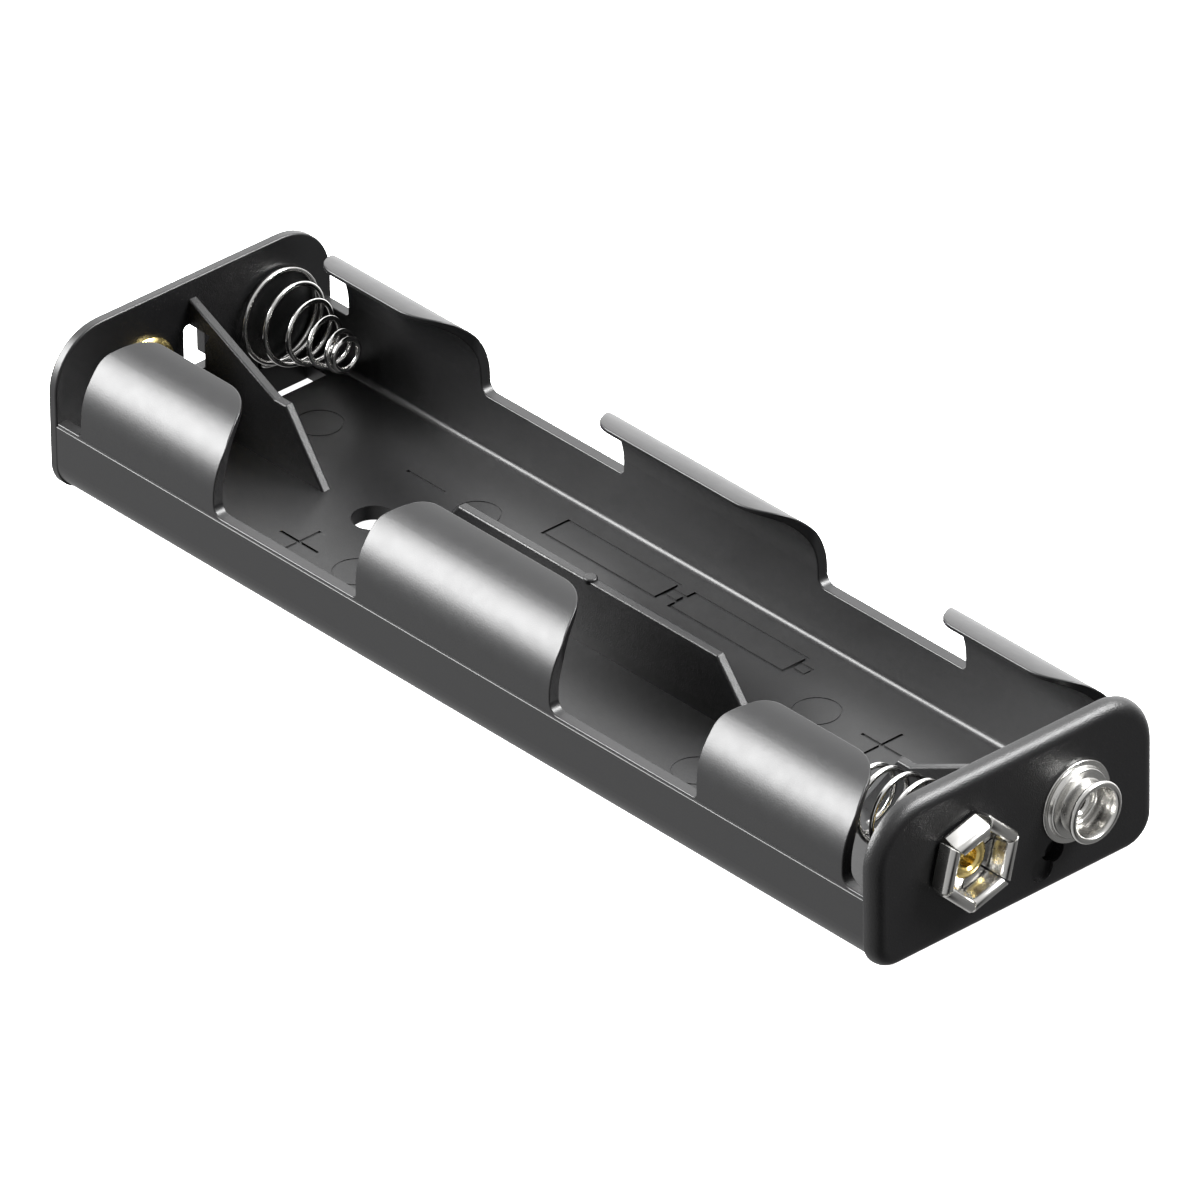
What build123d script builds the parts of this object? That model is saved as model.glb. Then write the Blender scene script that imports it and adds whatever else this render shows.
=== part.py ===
from build123d import *
import os
from math import atan, degrees

os.makedirs("parts", exist_ok=True)

# Battery holder for two rows of two cylindrical cells, with snap terminals on one end.
# +X points to the snap terminals, +Y to the rear row, +Z up. Lengths are in millimetres.

# Tray: one moulding with a floor, low side walls, curved flaps, end plates and ribs
tray_length = 107.6
tray_width = 32.1
tray_height = 15.7
foot_height = 0.3
floor_thickness = 1.45
wall_thickness = 1.3
rim_height = 7.4
ledge_step = 0.15
ledge_height = 7.15
ledge_rounding = 0.1
floor_edge_radius = 3.0
inner_corner_radius = 0.6
edge_rounding = 0.2
flap_edge_rounding = 0.12

# End plates
left_plate = 1.05
right_plate = 1.6
right_plate_lip = 0.25
plate_top_radius = 5.6
plate_bottom_radius = 3.0
left_plate_rounding = 0.3
right_plate_rounding = 1.3

# Flaps that curl over the cells, three on each side, thinning out to their free edge
flap_height = 16.0
flap_radius = 7.1
flap_edge_thickness = 0.35
flap_edge_y = 9.45
flap_trim_y = 14.7
rear_flap_shift = 0.6
left_flap_gap = 3.15
left_flap_length = 17.8
middle_flap_shift = -0.45
middle_flap_length = 25.25
right_flap_gap = 2.9
right_flap_length = 18.4
flap_left_root = 0.5
flap_right_root = 1.0
flap_left_bend_y = 13.05
flap_left_bend_radius = 2.0
flap_left_inset = 2.6
flap_left_corner_radius = 2.8
flap_right_bend_y = 14.3
flap_right_bend_radius = 1.4
flap_right_inset = 2.2
flap_right_corner_radius = 4.5

# Ribs that part the two rows
rib_thickness = 0.95
end_rib_height = 13.8
end_rib_knee_height = 8.5
end_rib_slope_length = 11.3
end_rib_flat_length = 1.5
end_rib_foot_length = 4.8
middle_rib_length = 33.5
middle_rib_height = 8.5
middle_rib_foot_length = 5.4
pip_diameter = 1.3
pip_height = 0.25

# Screw holes, moulding slot and window
screw_hole_diameter = 4.0
screw_hole_distance = 28.7
slot_length = 9.85
slot_width = 2.8
slot_center_y = 7.9
window_width = 2.4
window_bottom = 6.15
window_top = 11.25
window_corner_radius = 0.5
window_foot_width = 1.05
window_foot_height = 1.35
rib_notch_length = 2.0
rib_notch_top_length = 2.75
rib_notch_bend_height = 9.9

# Marks moulded into the floor
mark_line = 0.3
mark_depth = 0.15
polarity_size = 5.0
left_polarity_x = -30.4
right_polarity_x = 28.8
polarity_y = 7.4
cell_mark_length = 14.9
cell_mark_width = 3.3
cell_mark_y = 10.7
cell_mark_start = -17.1
nub_mark_length = 1.6
nub_mark_width = 1.4
ejector_diameter = 4.5
ejector_groove = 0.15
ejector_depth = 0.06
ejector_xs = (-44.2, -23.2, 21.0)
ejector_y = 7.0

# Snap terminals on the right plate
terminal_spacing = 12.7
terminal_shift = 0.45
terminal_height = 8.0
sheet = 0.28
hex_across_flats = 7.5
hex_height = 2.2
hex_roll_width = 0.95
hex_leaf_lean = 0.35
hex_leaf_gap = 0.35
hex_slit = 0.16
hex_turn = 15.6
stud_flange_diameter = 7.9
stud_step_diameter = 6.8
stud_step_height = 0.75
stud_neck_diameter = 5.35
stud_rim_diameter = 6.0
stud_rim_land = 0.5
stud_rim_swell = 0.2
stud_height = 2.85
stud_bore_diameter = 4.6

# Rivets
rivet_shank_diameter = 2.6
rivet_bore_diameter = 1.9
rivet_fit = 0.05
rivet_flare_diameter = 4.0
rivet_flare_height = 0.35
contact_head_diameter = 6.2
contact_head_height = 1.2
rivet_edge = 0.3
clamp_head_diameter = 5.2
clamp_head_height = 0.5
contact_y = -5.75
contact_z = 8.6

# Springs
wire_diameter = 0.5
spring_seat_gap = 0.1
left_spring_clearance = 0.4
left_spring_z = 8.3
left_spring_base_radius = 4.6
left_spring_tip_radius = 1.45
left_spring_length = 9.3
left_spring_turns = 5.6
tail_run = 1.4
tail_bend_radius = 0.35
right_spring_rise = 0.4
right_spring_base_radius = 4.65
right_spring_tip_radius = 2.95
right_spring_length = 10.0
right_spring_turns = 5.0
clamp_loop_radius = 1.75
clamp_loop_lean = 0.3

# Link strip on the outside of the left plate
strip_thickness = 0.3
strip_width = 3.0
strip_pad_diameter = 6.0
strip_corner_radius = 1.0
strip_end_length = 2.2
tail_hole_fit = 0.2
tail_overhang = 0.35
solder_diameter = 2.6
solder_height = 0.75

# Pockets below the round stud
key_hole_diameter = 2.2
key_hole_depth = 1.3
key_hole_y = 4.4
key_hole_z = 4.0
dimple_diameter = 2.5
dimple_depth = 0.45
dimple_y = 3.0
dimple_z = 2.75

# The whole part, with its terminals, is centred on the origin
left_reach = strip_thickness + max(rivet_flare_height, solder_height)
middle_x = (left_reach - stud_height) / 2
left_face = middle_x - tray_length / 2
right_face = middle_x + tray_length / 2
left_inner = left_face + left_plate
right_inner = right_face - right_plate
bay_middle = (left_inner + right_inner) / 2
bay_length = right_inner - left_inner

floor_top = foot_height + floor_thickness
wall_inner_y = tray_width / 2 - wall_thickness
flap_outer_y = tray_width / 2 - ledge_step
flap_center_y = flap_outer_y - flap_radius
flap_center_z = flap_height - flap_radius
stud_y = terminal_shift + terminal_spacing / 2
socket_y = terminal_shift - terminal_spacing / 2
overcut = 1.0
tiny = 0.001


# Flaps: where each one starts along X, and how long it is
left_flap_start = left_inner + left_flap_gap
right_flap_start = right_inner - right_flap_gap - right_flap_length
middle_flap_start = middle_x + middle_flap_shift - middle_flap_length / 2
flap_spans = (
    (left_flap_start, left_flap_length),
    (middle_flap_start, middle_flap_length),
    (right_flap_start, right_flap_length),
)


def flat_across(face):
    """True for a face whose surface runs straight across the tray, such as the top of a rib."""
    return abs(face.normal_at().Y) < tiny


def side_wall(face):
    """True for a face that runs along the tray as part of a wall or of a flap's curl."""
    normal = face.normal_at()
    return abs(normal.X) < tiny and abs(normal.Z) < 1 - tiny and abs(face.center().Y) > flap_edge_y + tiny


# Left end plate, with soft edges
with BuildPart() as left_end:
    with BuildSketch(Plane.YZ.offset(left_face)) as left_outline:
        Rectangle(tray_width, tray_height, align=(Align.CENTER, Align.MIN))
        fillet(left_outline.vertices().group_by(Axis.Y)[-1], plate_top_radius)
        fillet(left_outline.vertices().group_by(Axis.Y)[0], plate_bottom_radius)
    extrude(amount=left_plate)
    fillet(left_end.faces().sort_by(Axis.X)[0].edges(), left_plate_rounding)
    inner_edges = left_end.faces().sort_by(Axis.X)[-1].edges()
    fillet(inner_edges.filter_by(lambda edge: edge.center().Z > tray_height / 2 + tiny), edge_rounding)


# Right end plate, proud of the walls, with a well rounded outer edge
with BuildPart() as right_end:
    with BuildSketch(Plane.YZ.offset(right_inner)) as right_outline:
        Rectangle(tray_width + 2 * right_plate_lip, tray_height, align=(Align.CENTER, Align.MIN))
        fillet(right_outline.vertices().group_by(Axis.Y)[-1], plate_top_radius)
        fillet(right_outline.vertices().group_by(Axis.Y)[0], plate_bottom_radius)
    extrude(amount=right_plate)
    fillet(right_end.faces().sort_by(Axis.X)[-1].edges(), right_plate_rounding)
    fillet(right_end.faces().sort_by(Axis.X)[0].edges(), edge_rounding)


# Pip on the middle rib
with BuildPart() as pip:
    with BuildSketch(Plane.XY.offset(middle_rib_height - pip_height)):
        with Locations((bay_middle, 0)):
            Circle(pip_diameter / 2)
    extrude(amount=2 * pip_height)
    fillet(pip.edges().sort_by(Axis.Z)[-1], edge_rounding)


# Ribs: the end ribs slope down from the plates, and the middle rib stands between the cells.
# A notch in the left one opens it to the window
with BuildPart() as ribs:
    with BuildSketch(Plane.XZ) as rib_outline:
        for wall_x, inward in ((left_inner, 1), (right_inner, -1)):
            knee = wall_x + inward * end_rib_slope_length
            shoulder = knee + inward * end_rib_flat_length
            toe = shoulder + inward * end_rib_foot_length
            with BuildLine():
                Polyline(
                    (wall_x, foot_height),
                    (wall_x, end_rib_height),
                    (knee, end_rib_knee_height),
                    (shoulder, end_rib_knee_height),
                    (toe, floor_top),
                    (toe, foot_height),
                    close=True,
                )
            make_face()
        rib_half = middle_rib_length / 2
        with BuildLine():
            Polyline(
                (bay_middle - rib_half - middle_rib_foot_length, foot_height),
                (bay_middle - rib_half - middle_rib_foot_length, floor_top),
                (bay_middle - rib_half, middle_rib_height),
                (bay_middle + rib_half, middle_rib_height),
                (bay_middle + rib_half + middle_rib_foot_length, floor_top),
                (bay_middle + rib_half + middle_rib_foot_length, foot_height),
                close=True,
            )
        make_face()
    extrude(amount=rib_thickness / 2, both=True)
    rib_tops = ribs.faces().filter_by(flat_across).filter_by(lambda face: face.normal_at().Z > tiny)
    fillet(rib_tops.edges().filter_by(Axis.Y, reverse=True), edge_rounding)
    add(pip.part)
    with BuildSketch(Plane.XZ):
        with BuildLine():
            Polyline(
                (left_inner, window_bottom),
                (left_inner + rib_notch_length, window_bottom),
                (left_inner + rib_notch_length, rib_notch_bend_height),
                (left_inner + rib_notch_top_length, window_top),
                (left_inner, window_top),
                close=True,
            )
        make_face()
    extrude(amount=rib_thickness, both=True, mode=Mode.SUBTRACT)


# The tray's walls seen from the side: a straight rim with three flaps. The rear ones sit further right
def side_outline(shift):
    """Rim and flaps in one outline, with a small and a larger radius at the foot of each flap."""
    with BuildSketch() as outline:
        with Locations((bay_middle, rim_height / 2)):
            Rectangle(bay_length, rim_height)
        for start, length in flap_spans:
            with Locations((start + shift, rim_height)):
                Rectangle(length, flap_height - rim_height, align=(Align.MIN, Align.MIN))
        for start, length in flap_spans:
            for root_x, root_radius in ((start, flap_left_root), (start + length, flap_right_root)):
                root = outline.vertices().sort_by_distance((root_x + shift, rim_height, 0))[0]
                fillet(root, root_radius)
    return outline.sketch


with BuildPart() as side_blank:
    with BuildSketch(Plane.XZ):
        add(side_outline(0))
    extrude(amount=tray_width)
    with BuildSketch(Plane.XZ):
        add(side_outline(rear_flap_shift))
    extrude(amount=-tray_width)


# What is taken off above the walls: all but the flaps, whose free edges end in a slant and a corner
def flap_outline(left_x, right_x, side):
    """One flap seen from above, from beyond the wall to its free edge."""
    corners = (
        (left_x, flap_left_bend_y, flap_left_bend_radius),
        (left_x + flap_left_inset, flap_edge_y, flap_left_corner_radius),
        (right_x - flap_right_inset, flap_edge_y, flap_right_corner_radius),
        (right_x, flap_right_bend_y, flap_right_bend_radius),
    )
    with BuildSketch() as outline:
        with BuildLine():
            Polyline(
                (left_x, side * tray_width),
                *[(x, side * y) for x, y, radius in corners],
                (right_x, side * tray_width),
                close=True,
            )
        make_face()
        for x, y, radius in corners:
            fillet(outline.vertices().sort_by_distance((x, side * y, 0))[0], radius)
    return outline.sketch


with BuildPart() as flap_trim:
    with BuildSketch(Plane.XY.offset(flap_center_z)):
        with Locations((bay_middle, 0)):
            Rectangle(bay_length, 2 * flap_trim_y)
        for side, shift in ((-1, 0), (1, rear_flap_shift)):
            for start, length in flap_spans:
                add(flap_outline(start + shift, start + shift + length, side), mode=Mode.SUBTRACT)
    extrude(amount=flap_radius + overcut)


# Tray
left_polarity = middle_x + left_polarity_x
right_polarity = middle_x + right_polarity_x
screw_hole_xs = (bay_middle - screw_hole_distance, bay_middle + screw_hole_distance)
shank_hole_radius = rivet_shank_diameter / 2 + rivet_fit
wire_radius = wire_diameter / 2
left_spring_x = left_inner + wire_radius + spring_seat_gap
left_spring_y = wall_inner_y - left_spring_clearance - wire_radius - left_spring_base_radius
tail_y = left_spring_y - tail_run - tail_bend_radius
tail_z = left_spring_z - left_spring_base_radius

with BuildPart() as tray:
    # Section across the rows: floor, low walls and the curl of the flaps
    with BuildSketch(Plane.YZ.offset(left_inner)) as section:
        with Locations((0, foot_height)):
            Rectangle(tray_width, ledge_height - foot_height, align=(Align.CENTER, Align.MIN))
        fillet(section.vertices().group_by(Axis.Y)[-1], ledge_rounding)
        fillet(section.vertices().group_by(Axis.Y)[0], floor_edge_radius)
        with Locations((0, floor_top)):
            Rectangle(2 * wall_inner_y, rim_height, align=(Align.CENTER, Align.MIN), mode=Mode.SUBTRACT)
        for side in (1, -1):
            corner = section.vertices().sort_by_distance((side * wall_inner_y, floor_top, 0))[0]
            fillet(corner, inner_corner_radius)
        with BuildLine():
            outer_arc = CenterArc((flap_center_y, flap_center_z), flap_radius, 0, 90)
            inner_end = outer_arc @ 1 - Vector(0, flap_edge_thickness)
            inner_arc = TangentArc((wall_inner_y, flap_center_z), inner_end, tangent=(0, 1))
            Line(outer_arc @ 1, inner_end)
            Polyline(
                outer_arc @ 0,
                (flap_outer_y, ledge_height - overcut),
                (wall_inner_y, ledge_height - overcut),
                inner_arc @ 0,
            )
        make_face()
        mirror(about=Plane.YZ)
    extrude(amount=bay_length)

    # The flaps are cut to shape from the side and from above
    add(side_blank.part, mode=Mode.INTERSECT)
    add(flap_trim.part, mode=Mode.SUBTRACT)

    # Soft edges on the rim and the flaps
    long_faces = tray.faces().filter_by(side_wall)
    cut_faces = tray.faces().filter_by(side_wall, reverse=True)
    soft_edges = long_faces.edges() & cut_faces.edges()
    fillet(
        soft_edges.filter_by(lambda edge: edge.bounding_box().min.Z > rim_height - tiny),
        flap_edge_rounding,
    )
    add(left_end.part)
    add(right_end.part)
    add(ribs.part)

    # Screw holes, the moulding slot under the left spring, and the window beside the left rib
    with BuildSketch(Plane.XY):
        with Locations(*[(x, 0) for x in screw_hole_xs]):
            Circle(screw_hole_diameter / 2)
        with Locations((left_inner, slot_center_y)):
            Rectangle(slot_width, slot_length, align=(Align.MIN, Align.CENTER))
    extrude(amount=floor_top + overcut, mode=Mode.SUBTRACT)
    with BuildSketch(Plane.YZ.offset(left_face)) as window:
        with Locations((0, window_bottom)):
            Rectangle(window_width, window_top - window_bottom, align=(Align.CENTER, Align.MIN))
        fillet(window.vertices().group_by(Axis.Y)[-1], window_corner_radius)
        with Locations((window_width / 2, window_bottom)):
            Rectangle(window_foot_width, window_foot_height, align=(Align.MIN, Align.MIN))
    extrude(amount=left_plate, mode=Mode.SUBTRACT)

    # Holes for the rivets and for the left spring's tail, and two pockets below the round stud
    with BuildSketch(Plane.YZ.offset(right_inner)):
        with Locations((stud_y, terminal_height), (socket_y, terminal_height)):
            Circle(shank_hole_radius)
    extrude(amount=right_plate, mode=Mode.SUBTRACT)
    with BuildSketch(Plane.YZ.offset(right_face - key_hole_depth)):
        with Locations((key_hole_y, key_hole_z)):
            Circle(key_hole_diameter / 2)
    extrude(amount=key_hole_depth, mode=Mode.SUBTRACT)
    with BuildSketch(Plane.YZ.offset(right_face - dimple_depth)):
        with Locations((dimple_y, dimple_z)):
            Circle(dimple_diameter / 2)
    extrude(amount=dimple_depth, mode=Mode.SUBTRACT)
    with BuildSketch(Plane.YZ.offset(left_face)):
        with Locations((contact_y, contact_z)):
            Circle(shank_hole_radius)
        with Locations((tail_y, tail_z)):
            Circle(wire_radius + tail_hole_fit)
    extrude(amount=left_plate, mode=Mode.SUBTRACT)

    # Polarity signs and cell pictures, engraved, the front row turned round
    with BuildSketch(Plane.XY.offset(floor_top - mark_depth)):
        for mark_x, mark_y in ((right_polarity, polarity_y), (left_polarity, -polarity_y)):
            with Locations((mark_x, mark_y)):
                Rectangle(polarity_size, mark_line)
                Rectangle(mark_line, polarity_size)
        with Locations((left_polarity, polarity_y), (right_polarity, -polarity_y)):
            Rectangle(polarity_size, mark_line)
        for row in (1, -1):
            for cell in (0, 1):
                start = cell_mark_start + cell * (cell_mark_length + nub_mark_length)
                body_x = middle_x + row * (start + cell_mark_length / 2)
                nub_x = body_x + row * (cell_mark_length + nub_mark_length) / 2
                with Locations((body_x, row * cell_mark_y)):
                    Rectangle(cell_mark_length, cell_mark_width)
                    Rectangle(cell_mark_length - 2 * mark_line, cell_mark_width - 2 * mark_line,
                              mode=Mode.SUBTRACT)
                with Locations((nub_x, row * cell_mark_y)):
                    Rectangle(nub_mark_length, nub_mark_width)
                    Rectangle(nub_mark_length - mark_line, nub_mark_width - 2 * mark_line,
                              mode=Mode.SUBTRACT)
    extrude(amount=mark_depth, mode=Mode.SUBTRACT)
    with BuildSketch(Plane.XY.offset(floor_top - ejector_depth)):
        with Locations(*[(middle_x + x, side * ejector_y) for x in ejector_xs for side in (1, -1)]):
            Circle(ejector_diameter / 2)
            Circle(ejector_diameter / 2 - ejector_groove, mode=Mode.SUBTRACT)
    extrude(amount=ejector_depth, mode=Mode.SUBTRACT)

tray.part.label = "tray"
export_step(tray.part, "parts/tray.step")


# Hexagonal snap socket: a bent sheet with six petals, each folded back on itself
petal_apothem = hex_across_flats / 2
roll_radius = hex_roll_width / 2
leaf_foot_radius = petal_apothem - hex_roll_width - hex_leaf_lean
wedge_reach = 4 * petal_apothem

with BuildPart() as petal:
    with BuildSketch(Plane.XZ) as petal_section:
        with BuildLine():
            Polyline(
                (petal_apothem - sheet, 0),
                (petal_apothem, 0),
                (petal_apothem, hex_height - roll_radius),
            )
            CenterArc((petal_apothem - roll_radius, hex_height - roll_radius), roll_radius, 0, 180)
            Polyline(
                (petal_apothem - hex_roll_width, hex_height - roll_radius),
                (leaf_foot_radius, sheet + hex_leaf_gap),
                (leaf_foot_radius + sheet, sheet + hex_leaf_gap),
                (petal_apothem - hex_roll_width + sheet, hex_height - roll_radius),
            )
            CenterArc(
                (petal_apothem - roll_radius, hex_height - roll_radius), roll_radius - sheet, 180, -180
            )
            Line((petal_apothem - sheet, hex_height - roll_radius), (petal_apothem - sheet, 0))
        make_face()
    extrude(amount=petal_apothem, both=True)
    with BuildSketch(Plane.XY) as petal_wedge:
        with Locations((hex_slit + wedge_reach, 0)):
            RegularPolygon(wedge_reach, 3, rotation=180)
    extrude(amount=hex_height, mode=Mode.INTERSECT)

socket_plane = Plane(origin=(right_face, socket_y, terminal_height), x_dir=(0, 1, 0), z_dir=(1, 0, 0))
with BuildPart(socket_plane) as hex_socket:
    with BuildSketch(socket_plane):
        RegularPolygon(petal_apothem, 6, major_radius=False, rotation=hex_turn)
        Circle(shank_hole_radius, mode=Mode.SUBTRACT)
    extrude(amount=sheet)
    with PolarLocations(0, 6, start_angle=hex_turn + 30):
        add(petal.part)
hex_socket.part.label = "hex_socket"
export_step(hex_socket.part, "parts/hex_socket.step")


# Round snap stud, drawn from sheet, with a rolled rim
stud_section_plane = Plane(origin=(right_face, stud_y, terminal_height), x_dir=(0, 1, 0), z_dir=(0, 0, -1))
stud_roll = (stud_rim_diameter - stud_bore_diameter) / 4
with BuildPart() as round_stud:
    with BuildSketch(stud_section_plane) as stud_section:
        with BuildLine():
            Polyline(
                (shank_hole_radius, 0),
                (stud_flange_diameter / 2, 0),
                (stud_flange_diameter / 2, sheet),
                (stud_step_diameter / 2, sheet),
                (stud_step_diameter / 2, stud_step_height),
                (stud_neck_diameter / 2, stud_step_height),
                (stud_neck_diameter / 2, stud_height - stud_roll - stud_rim_land - stud_rim_swell),
                (stud_rim_diameter / 2, stud_height - stud_roll - stud_rim_land),
                (stud_rim_diameter / 2, stud_height - stud_roll),
            )
            TangentArc(
                (stud_rim_diameter / 2, stud_height - stud_roll),
                (stud_bore_diameter / 2, stud_height - stud_roll),
                tangent=(0, 1),
            )
            Polyline(
                (stud_bore_diameter / 2, stud_height - stud_roll),
                (stud_bore_diameter / 2, sheet),
                (shank_hole_radius, sheet),
                (shank_hole_radius, 0),
            )
        make_face()
    revolve(axis=Axis((right_face, stud_y, terminal_height), (1, 0, 0)))
round_stud.part.label = "round_stud"
export_step(round_stud.part, "parts/round_stud.step")


# Brass rivets are tubes with a flared tail. Each is drawn as half a section, from its head to its tail
def rivet_section(plane, head_radius, head_height, grip, domed):
    """Half section of a rivet: local y runs from the head's seat at 0 to the tail at grip."""
    shank = rivet_shank_diameter / 2
    bore = rivet_bore_diameter / 2
    flare = rivet_flare_diameter / 2
    with BuildSketch(plane) as section:
        with BuildLine():
            Polyline(
                (shank, 0),
                (shank, grip),
                (flare, grip),
                (flare, grip + rivet_flare_height),
                (bore, grip + rivet_flare_height),
                (bore, 0),
            )
            if domed:
                Polyline((bore, 0), (0, 0), (0, -head_height))
                TangentArc((0, -head_height), (head_radius, -rivet_edge), tangent=(1, 0))
                Polyline((head_radius, -rivet_edge), (head_radius, 0), (shank, 0))
            else:
                Polyline((bore, 0), (bore, -head_height), (head_radius, -head_height), (head_radius, 0),
                         (shank, 0))
        make_face()
    return section.sketch


clamp_gap = wire_diameter + 2 * clamp_loop_lean
hex_rivet_section = rivet_section(
    Plane(origin=(right_inner - clamp_gap, socket_y, terminal_height), x_dir=(0, 1, 0), z_dir=(0, 0, -1)),
    clamp_head_diameter / 2,
    clamp_head_height,
    clamp_gap + right_plate + sheet,
    False,
)
with BuildPart() as hex_rivet:
    revolve(hex_rivet_section, axis=Axis((right_face, socket_y, terminal_height), (1, 0, 0)))
hex_rivet.part.label = "hex_rivet"
export_step(hex_rivet.part, "parts/hex_rivet.step")

stud_rivet_section = rivet_section(
    Plane(origin=(right_inner, stud_y, terminal_height), x_dir=(0, 1, 0), z_dir=(0, 0, -1)),
    contact_head_diameter / 2,
    contact_head_height,
    right_plate + sheet,
    True,
)
with BuildPart() as stud_rivet:
    revolve(stud_rivet_section, axis=Axis((right_face, stud_y, terminal_height), (1, 0, 0)))
stud_rivet.part.label = "stud_rivet"
export_step(stud_rivet.part, "parts/stud_rivet.step")

contact_rivet_section = rivet_section(
    Plane(origin=(left_inner, contact_y, contact_z), x_dir=(0, 1, 0), z_dir=(0, 0, 1)),
    contact_head_diameter / 2,
    contact_head_height,
    left_plate + strip_thickness,
    True,
)
with BuildPart() as contact_rivet:
    revolve(contact_rivet_section, axis=Axis((left_face, contact_y, contact_z), (1, 0, 0)))
contact_rivet.part.label = "contact_rivet"
export_step(contact_rivet.part, "parts/contact_rivet.step")


# Link strip: joins the front contact rivet to the rear spring, outside the left plate
strip_plane = Plane(origin=(left_face, 0, 0), x_dir=(0, 1, 0), z_dir=(1, 0, 0)).offset(-strip_thickness)
with BuildPart() as link_strip:
    with BuildSketch(strip_plane) as strip_outline:
        with Locations((contact_y - strip_width / 2, tail_z - strip_width / 2)):
            Rectangle(tail_y - contact_y + strip_width / 2 + strip_end_length, strip_width,
                      align=(Align.MIN, Align.MIN))
            Rectangle(strip_width, contact_z - tail_z + strip_width / 2, align=(Align.MIN, Align.MIN))
        fillet(strip_outline.vertices().group_by(Axis.X)[-1], strip_corner_radius)
        fillet(strip_outline.vertices().group_by(Axis.X)[0].sort_by(Axis.Y)[0], strip_corner_radius)
        with Locations((contact_y, contact_z)):
            Circle(strip_pad_diameter / 2)
            Circle(shank_hole_radius, mode=Mode.SUBTRACT)
        with Locations((tail_y, tail_z)):
            Circle(wire_radius + tail_hole_fit, mode=Mode.SUBTRACT)
    extrude(amount=strip_thickness)
link_strip.part.label = "link_strip"
export_step(link_strip.part, "parts/link_strip.step")


# Springs: round wire on a conical helix, with its base end shaped to be held
def coil(base_center, x_dir, z_dir, base_radius, tip_radius, length, turns):
    """Right-handed conical helix. It starts on x_dir and runs along z_dir to its tip."""
    cone = -degrees(atan((base_radius - tip_radius) / length))
    place = Plane(origin=base_center, x_dir=x_dir, z_dir=z_dir)
    return place * Helix(length / turns, length, base_radius, cone_angle=cone)


def square_to(direction, along):
    """The part of a direction that is square to another one, as a unit vector."""
    return (direction - along * direction.dot(along)).normalized()


# Left spring: its tail runs on from the lowest point of the base and bends out through the plate
left_coil = coil(
    (left_spring_x, left_spring_y, left_spring_z), (0, 0, -1), (1, 0, 0),
    left_spring_base_radius, left_spring_tip_radius, left_spring_length, left_spring_turns,
)
left_start = left_coil @ 0
left_along = (left_coil % 0).normalized()
outward = square_to(Vector(-1, 0, 0), left_along)
run_end = left_start - left_along * tail_run
bend_end = run_end + (outward - left_along) * tail_bend_radius
tail_end = bend_end + outward * (bend_end.X - left_face + strip_thickness + tail_overhang)
left_path = Wire.combine([
    Line(tail_end, bend_end),
    TangentArc(run_end, bend_end, tangent=-left_along),
    Line(run_end, left_start),
    left_coil,
])[0]
with BuildPart() as left_spring:
    with BuildSketch(Plane(origin=left_path @ 0, z_dir=left_path % 0)):
        Circle(wire_radius)
    sweep(path=left_path)
left_spring.part.label = "left_spring"
export_step(left_spring.part, "parts/left_spring.step")

# Right spring: its base turns inwards to a loop round the rivet, under the rivet's inner head
right_spring_z = terminal_height + right_spring_rise
right_coil = coil(
    (right_inner - clamp_gap / 2, socket_y, right_spring_z), (0, 0, 1), (-1, 0, 0),
    right_spring_base_radius, right_spring_tip_radius, right_spring_length, right_spring_turns,
)
right_start = right_coil @ 0
right_along = (right_coil % 0).normalized()
inward = square_to(Vector(0, 0, -1), right_along)
loop_entry = right_start + inward * (right_spring_base_radius + right_spring_rise + clamp_loop_radius)
loop_far = loop_entry - inward * 2 * clamp_loop_radius
loop_end = loop_far + (inward + right_along) * clamp_loop_radius
right_path = Wire.combine([
    TangentArc(loop_far, loop_end, tangent=-right_along),
    TangentArc(loop_entry, loop_far, tangent=right_along),
    TangentArc(right_start, loop_entry, tangent=-right_along),
    right_coil,
])[0]
with BuildPart() as right_spring:
    with BuildSketch(Plane(origin=right_path @ 0, z_dir=right_path % 0)):
        Circle(wire_radius)
    sweep(path=right_path)
right_spring.part.label = "right_spring"
export_step(right_spring.part, "parts/right_spring.step")


# Solder joint round the left spring's tail, on the strip
solder_plane = Plane(
    origin=(left_face - strip_thickness, tail_y, tail_z), x_dir=(0, 1, 0), z_dir=(0, 0, 1)
)
with BuildPart() as solder_joint:
    with BuildSketch(solder_plane) as solder_section:
        with BuildLine():
            Line((0, 0), (0, solder_height))
            TangentArc((0, solder_height), (solder_diameter / 2, 0), tangent=(1, 0))
            Line((solder_diameter / 2, 0), (0, 0))
        make_face()
    revolve(axis=Axis((left_face, tail_y, tail_z), (1, 0, 0)))
    add(left_spring.part, mode=Mode.SUBTRACT)
solder_joint.part.label = "solder_joint"
export_step(solder_joint.part, "parts/solder_joint.step")
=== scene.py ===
import math

import bpy
from bpy.props import FloatProperty, IntProperty, PointerProperty, StringProperty
from mathutils import Matrix, Vector


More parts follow.
